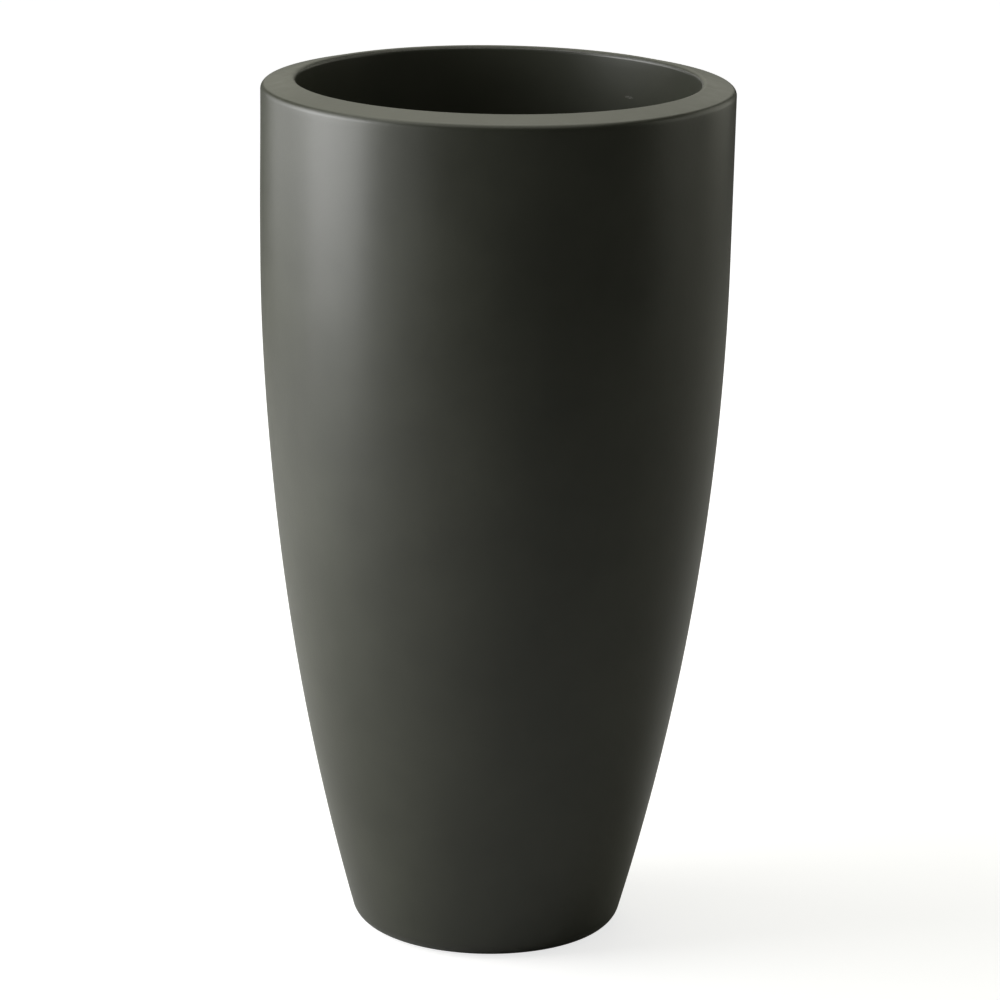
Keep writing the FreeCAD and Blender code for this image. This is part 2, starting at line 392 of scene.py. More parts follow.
def group(name, inputs, outputs):
    """Empty shader node group with named sockets: (name, type, default) inputs and (name, type) outputs."""
    tree = bpy.data.node_groups.new(name, "ShaderNodeTree")
    for label, kind, default in inputs:
        socket = tree.interface.new_socket(name=label, in_out="INPUT", socket_type="NodeSocket" + kind)
        if default is not None:
            socket.default_value = default
    for label, kind in outputs:
        tree.interface.new_socket(name=label, in_out="OUTPUT", socket_type="NodeSocket" + kind)
    return tree, tree.nodes.new("NodeGroupInput").outputs, tree.nodes.new("NodeGroupOutput").inputs


def placed(tree, effect, inputs):
    """The group put into a material with its own values; returns its outputs."""
    return add(tree, "ShaderNodeGroup", inputs, node_tree=effect).outputs


def sprayed_skin():
    """Skin of sprayed or moulded finish: shallow orange peel, broad flow unevenness in gloss, and fine
    nibs of dust caught in it. Sizes are in metres."""
    tree, given, out = group(
        "sprayed_skin",
        [("Place", "Vector", None), ("Peel Size", "Float", 0.004), ("Nibs", "Float", 0.3)],
        [("Height", "Float"), ("Gloss Change", "Float"), ("Shade", "Float")],
    )
    place = given["Place"]
    peel = noise(tree, place, calc(tree, "DIVIDE", 1.0, given["Peel Size"]), 1.5, 0.45)
    drift = noise(tree, place, 9.0, 3.0, 0.55)
    cloud = noise(tree, place, 34.0, 4.0, 0.6, 0.4)
    speck = add(tree, "ShaderNodeTexVoronoi", {"Vector": place, "Scale": 210.0, "Randomness": 1.0})
    nib = spread(tree, speck.outputs["Distance"], 0.05, 0.16, 1.0, 0.0)
    chosen = spread(tree, speck.outputs["Color"], 0.90, 0.93)
    nib = calc(tree, "MULTIPLY", calc(tree, "MULTIPLY", nib, chosen), given["Nibs"])
    tree.links.new(calc(tree, "ADD", peel, nib), out["Height"])
    tree.links.new(calc(tree, "SUBTRACT", calc(tree, "ADD", drift, cloud), 1.0), out["Gloss Change"])
    tree.links.new(calc(tree, "SUBTRACT", drift, 0.5), out["Shade"])
    return tree


def strand_mat():
    """Chopped strands under resin: bundles about 30 mm long and 1 mm wide lying in six directions, as
    noise drawn out along each of them. The place is a UV map in metres."""
    tree, given, out = group(
        "strand_mat",
        [("Place", "Vector", None), ("Strand Width", "Float", 0.0011)],
        [("Height", "Float"), ("Bundles", "Float")],
    )
    across = calc(tree, "DIVIDE", 1.0, given["Strand Width"])
    total = None
    for turn in (0.15, 0.72, 1.21, 1.78, 2.31, 2.88):
        line = stretched(tree, given["Place"], turn, (0.03, 1.0, 1.0))
        streak = noise(tree, line, across, 1.0, 0.5, 0.15)
        bundle = spread(tree, streak, 0.56, 0.70)
        total = bundle if total is None else calc(tree, "MAXIMUM", total, bundle)
    lump = noise(tree, given["Place"], 60.0, 3.0, 0.6)
    tree.links.new(calc(tree, "ADD", total, lump), out["Height"])
    tree.links.new(total, out["Bundles"])
    return tree


def settled_dust():
    """Share of dust: faces that look up, broken by cloudy noise."""
    tree, given, out = group(
        "settled_dust",
        [("Place", "Vector", None), ("Amount", "Float", 0.3), ("Grain", "Float", 60.0)],
        [("Share", "Float")],
    )
    normal = add(tree, "ShaderNodeNewGeometry").outputs["Normal"]
    upward = add(tree, "ShaderNodeSeparateXYZ", {0: normal}).outputs["Z"]
    facing = spread(tree, upward, 0.35, 1.0)
    cloud = noise(tree, given["Place"], given["Grain"], 5.0, 0.65, 0.6)
    broken = spread(tree, cloud, 0.35, 0.72)
    share = calc(tree, "MULTIPLY", calc(tree, "MULTIPLY", facing, broken), given["Amount"], clamp=True)
    tree.links.new(share, out["Share"])
    return tree


def rubbed_through():
    """Share of wear: the piece's wear attribute broken into scuffs by long and fine noise."""
    tree, given, out = group(
        "rubbed_through",
        [("Place", "Vector", None), ("Worn", "Float", 0.0), ("Scuff Size", "Float", 0.012)],
        [("Share", "Float"), ("Dulled", "Float")],
    )
    scale = calc(tree, "DIVIDE", 1.0, given["Scuff Size"])
    coarse = noise(tree, given["Place"], scale, 6.0, 0.72, 0.8)
    edge = calc(tree, "SUBTRACT", 1.0, given["Worn"])
    low = calc(tree, "ADD", 0.34, calc(tree, "MULTIPLY", edge, 0.5))
    share = add(tree, "ShaderNodeMapRange", {"Value": coarse, "From Min": low})
    tree.links.new(calc(tree, "ADD", low, 0.12), share.inputs["From Max"])
    worn = calc(tree, "MULTIPLY", share.outputs["Result"], spread(tree, given["Worn"], 0.02, 0.3))
    tree.links.new(worn, out["Share"])
    dulled = calc(tree, "MULTIPLY", spread(tree, coarse, 0.3, 0.7), given["Worn"])
    tree.links.new(dulled, out["Dulled"])
    return tree


skin_effect = sprayed_skin()
strand_effect = strand_mat()
dust_effect = settled_dust()
wear_effect = rubbed_through()


def material(name):
    """Material with only its Principled shader, and the places that its patterns are read from."""
    made = bpy.data.materials.new(name)
    made.use_nodes = True
    tree = made.node_tree
    tree.nodes.clear()
    shader = tree.nodes.new("ShaderNodeBsdfPrincipled")
    output = tree.nodes.new("ShaderNodeOutputMaterial")
    tree.links.new(shader.outputs["BSDF"], output.inputs["Surface"])
    solid_place = add(tree, "ShaderNodeTexCoord").outputs["Object"]
    surface_place = add(tree, "ShaderNodeUVMap", uv_map="surface").outputs["UV"]
    worn = add(tree, "ShaderNodeAttribute", attribute_name="worn").outputs["Fac"]
    return made, tree, shader, solid_place, surface_place, worn


def bump(tree, shader, height, depth, before=None):
    """Bump of the height, whose full range is the depth in metres, linked to the shader's normal."""
    made = add(tree, "ShaderNodeBump", {"Height": height, "Distance": depth, "Strength": 1.0})
    if before is not None:
        tree.links.new(before, made.inputs["Normal"])
    tree.links.new(made.outputs["Normal"], shader.inputs["Normal"])
    return made.outputs["Normal"]


def near(tree, place, centre, reach, blur):
    """Soft mask that is 1 within reach of a centre and falls to 0 over the blur."""
    gap = add(tree, "ShaderNodeVectorMath", {0: place, 1: centre}, operation="DISTANCE").outputs["Value"]
    return spread(tree, gap, reach, reach + blur, 1.0, 0.0)


paint_colour = (0.042, 0.044, 0.033, 1.0)
paint_rubbed = (0.16, 0.16, 0.145, 1.0)
dust_colour = (0.34, 0.33, 0.29, 1.0)


def make_paint():
    """Satin charcoal two-pack paint, sprayed over filled and sanded gel coat."""
    made, tree, shader, place, _, worn = material("satin_charcoal_paint")
    skin = placed(tree, skin_effect, {"Place": place, "Peel Size": 0.0032, "Nibs": 0.5})
    dust = placed(tree, dust_effect, {"Place": place, "Amount": 0.05, "Grain": 70.0})["Share"]
    wear = placed(tree, wear_effect, {"Place": place, "Worn": worn, "Scuff Size": 0.011})

    # A small smudge low on the back left, and on the skirt's right side a short scuff painted pale: partly a
    # real scuff, partly a painted highlight standing for a glint
    smudge = near(tree, place, (-0.1276, 0.1276, 0.261), 0.0014, 0.0022)
    tall = add(tree, "ShaderNodeMapping", {"Vector": place, "Scale": (1.0, 1.0, 4.0)}).outputs[0]
    scuff_and_glint = near(tree, tall, (0.122, 0.137, 4.0 * 0.761), 0.003, 0.003)
    scuff_and_glint = calc(tree, "MULTIPLY", scuff_and_glint, spread(tree, noise(tree, place, 800.0, 3.0), 0.4, 0.6))

    lighter = tuple(c * 1.18 for c in paint_colour[:3]) + (1.0,)
    darker = tuple(c * 0.86 for c in paint_colour[:3]) + (1.0,)
    tone = spread(tree, skin["Shade"], -0.22, 0.22)
    colour = blend_colour(tree, tone, darker, lighter)
    colour = blend_colour(tree, dust, colour, dust_colour)
    colour = blend_colour(tree, wear["Share"], colour, paint_rubbed)
    colour = blend_colour(tree, calc(tree, "MULTIPLY", smudge, 0.6), colour, (0.016, 0.016, 0.014, 1.0))
    # Pale scuff on the skirt: partly wear, partly a painted highlight where the finish catches a glint
    colour = blend_colour(tree, calc(tree, "MULTIPLY", scuff_and_glint, 0.5), colour, (0.30, 0.30, 0.27, 1.0))
    tree.links.new(colour, shader.inputs["Base Color"])

    rough = calc(tree, "ADD", 0.33, calc(tree, "MULTIPLY", skin["Gloss Change"], 0.06))
    rough = calc(tree, "ADD", rough, calc(tree, "MULTIPLY", wear["Dulled"], 0.3))
    rough = calc(tree, "ADD", rough, calc(tree, "MULTIPLY", dust, 1.5))
    tree.links.new(rough, shader.inputs["Roughness"])
    bump(tree, shader, skin["Height"], 0.00004)
    return made


def make_underside():
    """Black gel coat under the foot, dulled, with grey overspray blown in from the side."""
    made, tree, shader, place, _, worn = material("gelcoat_underside")
    skin = placed(tree, skin_effect, {"Place": place, "Peel Size": 0.005, "Nibs": 0.8})
    wear = placed(tree, wear_effect, {"Place": place, "Worn": worn, "Scuff Size": 0.007})
    fine = noise(tree, place, 420.0, 4.0, 0.7)
    distance = add(tree, "ShaderNodeVectorMath", {0: place}, operation="LENGTH").outputs["Value"]
    overspray = calc(tree, "MULTIPLY", spread(tree, distance, 0.088, 0.108), spread(tree, fine, 0.35, 0.65))
    colour = blend_colour(tree, overspray, (0.018, 0.018, 0.017, 1.0), paint_colour)
    colour = blend_colour(tree, wear["Share"], colour, (0.20, 0.20, 0.185, 1.0))
    tree.links.new(colour, shader.inputs["Base Color"])
    rough = calc(tree, "ADD", 0.46, calc(tree, "MULTIPLY", skin["Gloss Change"], 0.16))
    rough = calc(tree, "ADD", rough, calc(tree, "MULTIPLY", wear["Dulled"], 0.3))
    tree.links.new(rough, shader.inputs["Roughness"])
    bump(tree, shader, skin["Height"], 0.00006)
    return made


def make_flow_coat():
    """Dark grey flow coat brushed over chopped-strand laminate: the strands stand out under it, the
    brush has left shallow level strokes, and potting dust lies on the floor."""
    made, tree, shader, place, surface, _ = material("brushed_flow_coat")
    mat = placed(tree, strand_effect, {"Place": surface, "Strand Width": 0.0013})
    dust = placed(tree, dust_effect, {"Place": place, "Amount": 0.45, "Grain": 45.0})["Share"]
    strokes = noise(tree, stretched(tree, surface, 0.06, (0.06, 1.0, 1.0)), 900.0, 3.0, 0.6, 0.3)
    pool = noise(tree, place, 26.0, 3.0, 0.55)
    thin, full = (0.085, 0.086, 0.078, 1.0), (0.052, 0.053, 0.048, 1.0)
    strand = (0.13, 0.132, 0.118, 1.0)
    colour = blend_colour(tree, spread(tree, pool, 0.3, 0.7), thin, full)
    colour = blend_colour(tree, calc(tree, "MULTIPLY", mat["Bundles"], 0.35), colour, strand)
    colour = blend_colour(tree, dust, colour, dust_colour)
    tree.links.new(colour, shader.inputs["Base Color"])
    rough = spread(tree, pool, 0.3, 0.7, 0.34, 0.52)
    rough = calc(tree, "ADD", rough, calc(tree, "MULTIPLY", dust, 0.8))
    tree.links.new(rough, shader.inputs["Roughness"])
    first = bump(tree, shader, mat["Height"], 0.00035)
    bump(tree, shader, strokes, 0.00012, first)
    return made


def make_cut_laminate():
    """Sanded cut through the laminate: grey-green resin with pale strand ends, in layers."""
    made, tree, shader, place, surface, _ = material("sanded_cut_laminate")
    ends = add(tree, "ShaderNodeTexVoronoi", {"Vector": place, "Scale": 1600.0, "Randomness": 1.0})
    pale = spread(tree, ends.outputs["Distance"], 0.18, 0.38, 1.0, 0.0)
    layer = noise(tree, stretched(tree, surface, 0.0, (0.03, 1.0, 1.0)), 1300.0, 2.0, 0.6)
    resin, chalked = (0.085, 0.095, 0.075, 1.0), (0.15, 0.16, 0.13, 1.0)
    colour = blend_colour(tree, spread(tree, layer, 0.4, 0.6), resin, chalked)
    colour = blend_colour(tree, calc(tree, "MULTIPLY", pale, 0.5), colour, (0.30, 0.31, 0.27, 1.0))
    tree.links.new(colour, shader.inputs["Base Color"])
    tree.links.new(spread(tree, pale, 0.0, 1.0, 0.72, 0.58), shader.inputs["Roughness"])
    bump(tree, shader, calc(tree, "ADD", pale, layer), 0.00008)
    return made


def make_paste():
    """Grey bonding paste, spread and squeezed out by hand: pulled ridges, pinholes and a dull skin."""
    made, tree, shader, place, surface, _ = material("bonding_paste")
    pulled = noise(tree, stretched(tree, surface, 0.1, (0.2, 1.0, 1.0)), 420.0, 4.0, 0.6, 0.5)
    pores = add(tree, "ShaderNodeTexVoronoi", {"Vector": place, "Scale": 430.0, "Randomness": 1.0})
    pinhole = spread(tree, pores.outputs["Distance"], 0.10, 0.2, 1.0, 0.0)
    pinhole = calc(tree, "MULTIPLY", pinhole, spread(tree, pores.outputs["Color"], 0.7, 0.75))
    skin = placed(tree, skin_effect, {"Place": place, "Peel Size": 0.003, "Nibs": 0.0})
    tone = spread(tree, skin["Shade"], -0.2, 0.2)
    colour = blend_colour(tree, tone, (0.15, 0.155, 0.13, 1.0), (0.21, 0.215, 0.18, 1.0))
    colour = blend_colour(tree, pinhole, colour, (0.05, 0.05, 0.045, 1.0))
    tree.links.new(colour, shader.inputs["Base Color"])
    tree.links.new(spread(tree, pulled, 0.3, 0.7, 0.5, 0.66), shader.inputs["Roughness"])
    bump(tree, shader, calc(tree, "SUBTRACT", pulled, pinhole), 0.0005)
    return made


def make_rubber():
    """Moulded black rubber: fine matt skin, greyish bloom, dust and scuffs on its edges."""
    made, tree, shader, place, _, worn = material("moulded_black_rubber")
    skin = placed(tree, skin_effect, {"Place": place, "Peel Size": 0.0007, "Nibs": 0.2})
    wear = placed(tree, wear_effect, {"Place": place, "Worn": worn, "Scuff Size": 0.004})
    dust = placed(tree, dust_effect, {"Place": place, "Amount": 0.25, "Grain": 160.0})["Share"]
    bloom = noise(tree, place, 120.0, 4.0, 0.6, 0.5)
    black, bloomed = (0.016, 0.016, 0.016, 1.0), (0.034, 0.034, 0.035, 1.0)
    colour = blend_colour(tree, spread(tree, bloom, 0.3, 0.75), black, bloomed)
    colour = blend_colour(tree, wear["Share"], colour, (0.085, 0.085, 0.085, 1.0))
    colour = blend_colour(tree, dust, colour, dust_colour)
    tree.links.new(colour, shader.inputs["Base Color"])
    rough = calc(tree, "ADD", 0.62, calc(tree, "MULTIPLY", skin["Gloss Change"], 0.12))
    tree.links.new(calc(tree, "ADD", rough, calc(tree, "MULTIPLY", dust, 0.6)), shader.inputs["Roughness"])
    bump(tree, shader, skin["Height"], 0.00004)
    return made


paint = make_paint()
underside = make_underside()
flow_coat = make_flow_coat()
cut_laminate = make_cut_laminate()
paste = make_paste()
rubber = make_rubber()


# ---------------------------------------------------------------------------------------------
# Shell
# ---------------------------------------------------------------------------------------------
def base_path(inset):
    """Base of the shell from the hole in its flange to the foot rounding: ledge, step and foot ring. Both
    corners of the step move along their bisectors by the inset."""
    shift = np.array([inset * math.tan(step_angle / 2.0), inset])
    ledge_end = np.array([recess_radius + ledge_width, recess_height]) + shift
    ring_start = np.array([recess_radius + ledge_width + recess_height / math.tan(step_angle), 0.0]) + shift
    return rounded([
        (recess_radius, recess_height + inset, 0.0),
        (*ledge_end, ledge_rounding + inset),
        (*ring_start, foot_ring_rounding - inset),
        (foot_centre[0], inset, 0.0),
    ])


def shell_uneven(angle, radius, height):
    """Inner face up to 0.4 mm off, as the roller left it: still at the seam and against the floor."""
    inner = radius < wall_radius(np.clip(height, foot_rounding, seam_height), shell_laminate / 2.0)
    reach = ease(height, floor_top, cove_top + 0.01) * (1.0 - ease(height, lap_end - 0.02, lap_end))
    return radius - inner * reach * 0.4 * mm * (0.6 + waves(angle, height, 11)), height


def shell_worn(angle, radius, height):
    """Full wear on the foot ring that stands on the ground, gone 12 mm above it on the outside."""
    outside = radius > foot_centre[0]
    ring = 1.0 - ease(height, 0.0005, 0.004)
    edge = 0.45 * (1.0 - ease(height, 0.001, 0.012))
    return np.where(outside, np.maximum(0.8 * ring, edge), 0.9 * ring)


def shell_finish(radius, height):
    """0 paint outside, 1 gel coat below the foot, 2 flow coat inside, 3 the cut edge of the flange."""
    outer = wall_radius(np.clip(height, 0.0, seam_height), 0.0)
    inside = radius < outer - 1.0 * mm
    below = (radius < foot_centre[0]) & (height < recess_height + 0.1 * mm)
    cut_edge = radius < recess_radius + cut_rounding
    number = np.where(inside, 2, 0)
    number = np.where(below, 1, number)
    return np.where(cut_edge, 3, number)


flange_edge = rounded([
    (recess_radius + 2.0 * mm, recess_height + shell_laminate, 0.0),
    (recess_radius, recess_height + shell_laminate, cut_rounding),
    (recess_radius, recess_height, cut_rounding),
    (recess_radius + 2.0 * mm, recess_height, 0.0),
])
under = base_path(0.0)
over = base_path(shell_laminate)
shell = revolved(
    "laminated_shell",
    [
        flange_edge,
        under[under[:, 0] > recess_radius + 2.0 * mm],
        wall_path(0.0, seam_height, 0.0, 0.010),
        wall_path(shell_laminate, seam_height, shell_laminate, 0.009)[::-1],
        over[over[:, 0] > recess_radius + 2.0 * mm][::-1],
    ],
    [paint, underside, flow_coat, cut_laminate],
    shell_finish,
    shell_uneven,
    shell_worn,
)

# ---------------------------------------------------------------------------------------------
# Rim
# ---------------------------------------------------------------------------------------------
def under_rim(radius):
    """Height of the sloping rim's underside at a radius, one laminate below its top."""
    return crest - rim_laminate / math.cos(rim_slope) - (radius - opening_radius) * math.tan(rim_slope)


def rim_finish(radius, height):
    """0 paint on the skirt's face, the slope and the collar, 1 flow coat behind, 2 the trimmed edges."""
    top = crest - (radius - opening_radius) * math.tan(rim_slope) - rim_laminate * 0.6
    collar = (radius > wall_radius(seam_height, 1.0 * mm)) & (height > seam_height - 0.01 * mm)
    painted = (radius < opening_radius + 0.3 * mm) | (height > top) | collar
    trimmed = (height < skirt_end + cut_rounding) | (height < lap_end + cut_rounding) & (radius > skirt_limit)
    return np.where(trimmed, 2, np.where(painted, 0, 1))


def rim_uneven(angle, radius, height):
    """Skirt pulled in and out by 0.25 mm towards its free edge, its back rolled unevenly by 0.35 mm, and
    the trimmed edge up to 0.6 mm off level."""
    free = ease(overall_height - height, 0.03, 0.1) * (radius < skirt_limit)
    back = (radius > opening_radius + 2.0 * mm) & (radius < skirt_limit)
    radius = radius + free * 0.25 * mm * waves(angle, 0.0 * height, 21, 7)
    radius = radius + back * free * 0.35 * mm * waves(angle, height, 22)
    edge = (1.0 - ease(height, skirt_end + 1.0 * mm, skirt_end + 9.0 * mm)) * (radius < skirt_limit)
    height = height + edge * 0.3 * mm * (1.0 + np.clip(waves(angle, 0.0 * height, 23, 40), -1.0, 1.0))
    return radius, height


def rim_worn(angle, radius, height):
    """Light wear where hands and tools pass: the crest's inner edge and the brow."""
    crest_edge = ease(height, overall_height - 2.0 * mm, overall_height - 0.3 * mm)
    brow_edge = (radius > rim_radius - 2.0 * mm) & (height > brow - 6.0 * mm)
    return 0.12 * crest_edge + 0.08 * brow_edge


skirt_back = opening_radius + skirt_laminate
lap_back = float(wall_radius(seam_height, joggle + lap_laminate))
rim = revolved(
    "sloping_rim",
    [
        rounded([
            (opening_radius + 1.8 * mm, skirt_end, 0.0),
            (opening_radius, skirt_end, cut_rounding),
            (opening_radius, crest, rim_inner_rounding),
            (rim_radius, brow, rim_outer_rounding),
            (*wall_point(seam_height, 0.0), 0.0),
            (*wall_point(seam_height, joggle), 0.0),
            (*wall_point(lap_end, joggle), cut_rounding),
            (*wall_point(lap_end, joggle + lap_laminate), cut_rounding),
            (lap_back, under_rim(lap_back), under_rim_rounding),
            (skirt_back, under_rim(skirt_back), under_rim_rounding),
            (skirt_back, skirt_end, cut_rounding),
            (opening_radius + 1.8 * mm, skirt_end, 0.0),
        ]),
    ],
    [paint, flow_coat, cut_laminate],
    rim_finish,
    rim_uneven,
    rim_worn,
)

# ---------------------------------------------------------------------------------------------
# Paste in the lap, floor and cove
# ---------------------------------------------------------------------------------------------
def bead_uneven(angle, radius, height):
    """Squeezed-out bead: its free face bulges and thins by up to 0.9 mm and its lower edge wanders by
    2 mm, while its buried face stays against the shell."""
    free = ease(wall_radius(height, shell_laminate) - radius, 0.2 * mm, 2.0 * mm)
    low = 1.0 - ease(height, bead_end, lap_end)
    radius = radius - low * free * 0.9 * mm * waves(angle, height, 31, 60)
    tail = 1.0 - ease(height, bead_end, bead_end + 3.0 * mm)
    return radius, height + tail * 1.6 * mm * np.abs(waves(angle, 0.0 * height, 32, 46))


lap_corner = wall_point(lap_end, joggle)
bead_top = seam_height - 0.2 * mm
bead_lip = lap_corner - np.array([bead_cover, 0.0])
bead_toe = wall_point(bead_end, shell_laminate - hidden)
bead = revolved(
    "lap_paste",
    [
        wall_path(bead_end, seam_height, shell_laminate - hidden, 0.004),
        straight(wall_point(bead_top, shell_laminate), wall_point(bead_top, joggle), 0.002),
        straight(wall_point(bead_top, joggle), lap_corner, 0.006),
        straight(lap_corner, bead_lip, 0.0007),
        hollow(bead_lip, bead_toe, lap_corner, bead_hollow),
    ],
    [paste],
    None,
    bead_uneven,
)


def floor_uneven(angle, radius, height):
    """Top of the floor up to 0.35 mm off flat, as rolled, and level where the plug's head seats."""
    top = height > floor_seat + 0.5 * mm
    begun = ease(radius, plug_head_radius + 2.0 * mm, 0.035)
    reach = begun * (1.0 - ease(radius, floor_radius - 2.0 * mm, floor_radius))
    return radius, height - top * reach * 0.35 * mm * (0.7 + waves(angle, radius, 41, 12, 140.0))


floor = revolved(
    "dished_floor",
    [
        rounded([
            (drain_radius, boss_bottom + 3.0 * mm, 0.0),
            (drain_radius, drain_top, cut_rounding),
            (boss_radius, drain_top, dish_rounding),
            (dish_radius, floor_top, dish_rounding),
            (floor_radius, floor_top, 0.0),
            (floor_radius, floor_seat, 0.0),
            (dish_radius, floor_seat, dish_rounding),
            (boss_radius, drain_top - floor_laminate, 1.5 * mm),
            (boss_radius, boss_bottom, 1.2 * mm),
            (drain_radius, boss_bottom, cut_rounding),
            (drain_radius, boss_bottom + 3.0 * mm, 0.0),
        ], 0.004),
    ],
    [flow_coat, cut_laminate],
    lambda radius, height: np.where(radius < drain_radius + cut_rounding, 1, 0),
    floor_uneven,
)


def cove_uneven(angle, radius, height):
    """Tooled cove: its toe wanders by 2.5 mm on the floor, its head by 2 mm up the wall, and its hollow
    face by 0.5 mm."""
    low = height < floor_top + 4.0 * mm
    toe = (1.0 - ease(radius, floor_radius - 15.0 * mm, floor_radius - 8.0 * mm)) * low
    head = ease(height, cove_top - 7.0 * mm, cove_top)
    face = ease(height, floor_top + 1.0 * mm, floor_top + 6.0 * mm) * (1.0 - head)
    free = ease(wall_radius(height, shell_laminate) - radius, 0.3 * mm, 1.5 * mm)
    radius = radius + toe * 1.6 * mm * (1.0 + waves(angle, 0.0 * height, 51, 40))
    radius = radius - face * free * 0.5 * mm * waves(angle, height, 52, 50, 200.0)
    return radius, height - head * 1.4 * mm * (1.0 + waves(angle, 0.0 * height, 53, 44))


cove_corner = wall_point(floor_top, shell_laminate)
cove_toe = cove_corner - np.array([cove_leg, 0.0])
buried_toe = cove_toe - np.array([0.0, 0.5 * mm])
floor_edge = np.array([floor_radius, floor_top - 0.5 * mm])
floor_heel = np.array([floor_radius, floor_seat])
cove = revolved(
    "floor_cove",
    [
        wall_path(floor_seat, cove_top, shell_laminate - hidden, 0.003),
        hollow(wall_point(cove_top, shell_laminate), cove_toe, cove_corner, bead_hollow),
        straight(cove_toe, buried_toe, 0.001),
        straight(buried_toe, floor_edge, 0.003),
        straight(floor_edge, floor_heel, 0.003),
        straight(floor_heel, wall_point(floor_seat, shell_laminate), 0.003),
    ],
    [flow_coat],
    None,
    cove_uneven,
)

# ---------------------------------------------------------------------------------------------
# Drain plug: turned stopper and the pierced finger tab that stands on its head
# ---------------------------------------------------------------------------------------------
head_top = drain_top + plug_head_thickness
stem_top = drain_radius - plug_clearance
stem_end = stem_top - (drain_top - plug_end) * math.tan(plug_taper)
core_top = plug_end + plug_core_depth


def turned_grid(profile, columns):
    """Grid of a profile turned about Z, one row of points per angle."""
    angle = np.linspace(0.0, 2.0 * math.pi, columns, endpoint=False)[:, None]
    radius, height = profile[None, :, 0], profile[None, :, 1]
    return np.stack([radius * np.cos(angle), radius * np.sin(angle), height + 0.0 * angle], axis=-1)


def tab_grid(columns):
    """Ring round the tab's hole. At each angle about the hole a rounded rectangle runs from the hole's
    edge out to the tab's outline: a half circle above the hole's centre, straight sides below it. The tab
    thickens by a third into the head over its last 3 mm."""
    half_width, half = tab_width / 2.0, tab_thickness / 2.0
    centre_height = tab_top - half_width
    root = head_top - plug_head_thickness / 2.0
    angle = np.linspace(0.0, 2.0 * math.pi, columns, endpoint=False)[:, None]
    side, rise = np.cos(angle), np.sin(angle)
    to_side = half_width / np.maximum(np.abs(side), 1e-9)
    to_root = (centre_height - root) / np.maximum(-rise, 1e-9)
    outer = np.where(rise >= 0.0, half_width, np.minimum(to_side, to_root))
    bend = np.radians(np.linspace(0.0, 90.0, 6))[None, :]
    r = rubber_rounding
    reach = np.hstack([
        outer - r + r * np.sin(bend),
        outer - r + r * np.cos(bend),
        tab_hole_radius + r - r * np.sin(bend) + 0.0 * angle,
        tab_hole_radius + r - r * np.cos(bend) + 0.0 * angle,
    ])
    across = np.hstack([r - half - r * np.cos(bend), half - r + r * np.sin(bend)])
    across = np.hstack([across, -across]) + 0.0 * angle
    height = centre_height + reach * rise
    flare = 1.0 + 0.33 * (1.0 - ease(height, head_top, head_top + 3.0 * mm))
    return np.stack([reach * side, -across * flare, height], axis=-1)


def merged(piece):
    """Joins the points that meet at a pole and clears what that leaves without a face."""
    work = bmesh.new()
    work.from_mesh(piece.data)
    bmesh.ops.remove_doubles(work, verts=work.verts, dist=1e-7)
    bmesh.ops.delete(work, geom=[e for e in work.edges if not e.link_faces], context="EDGES")
    work.to_mesh(piece.data)
    work.free()
    piece.data.set_sharp_from_angle(angle=sharp_angle)


def make_plug():
    """The stopper's turned body and its tab, as two closed shells in one mesh."""
    profile = closed_profile([
        rounded([
            (0.0, head_top, 0.0),
            (plug_head_radius, head_top, rubber_rounding),
            (plug_head_radius, drain_top, 0.6 * mm),
            (stem_top, drain_top, 0.4 * mm),
            (stem_end, plug_end, 1.2 * mm),
            (plug_core_radius, plug_end, 0.8 * mm),
            (plug_core_radius, core_top, 1.5 * mm),
            (0.0, core_top, 0.0),
        ], 0.003, math.radians(9.0)),
    ])
    vertices, quads, uv = [], [], []
    first = 0
    for grid in (turned_grid(profile, 96), tab_grid(120)):
        columns, rows = grid.shape[:2]
        i, j, faces = lattice(columns, rows)
        section = np.linalg.norm(np.roll(grid[0], -1, axis=0) - grid[0], axis=1)
        along = np.concatenate([[0.0], np.cumsum(section)])
        vertices.append(grid.reshape(-1, 3))
        quads.append(faces + first)
        uv.append(lattice_uv(i, j, 2.0 * math.pi * 0.01 / columns, along))
        first += columns * rows
    vertices = np.vstack(vertices)
    edge = ease(vertices[:, 2], tab_top - 4.0 * mm, tab_top)
    rim_edge = ease(np.hypot(vertices[:, 0], vertices[:, 1]), plug_head_radius - 1.2 * mm, plug_head_radius)
    worn = 0.5 * edge + 0.35 * rim_edge
    quads = np.vstack(quads)
    piece = mesh_piece("drain_stopper", vertices, quads, np.vstack(uv), worn, np.zeros(len(quads)), [rubber])
    merged(piece)
    return piece


plug = make_plug()

for piece, node, body, slot in (
    (shell, "outer_shell", "planter", "painted_laminate"),
    (rim, "rim_moulding", "planter", "painted_laminate"),
    (bead, "rim_bond", "planter", "bonding_paste"),
    (floor, "floor_pan", "planter", "flow_coated_laminate"),
    (cove, "floor_bond", "planter", "flow_coated_laminate"),
    (plug, "drain_plug", "plug", "black_rubber"),
):
    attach(piece, body)
    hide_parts(node)

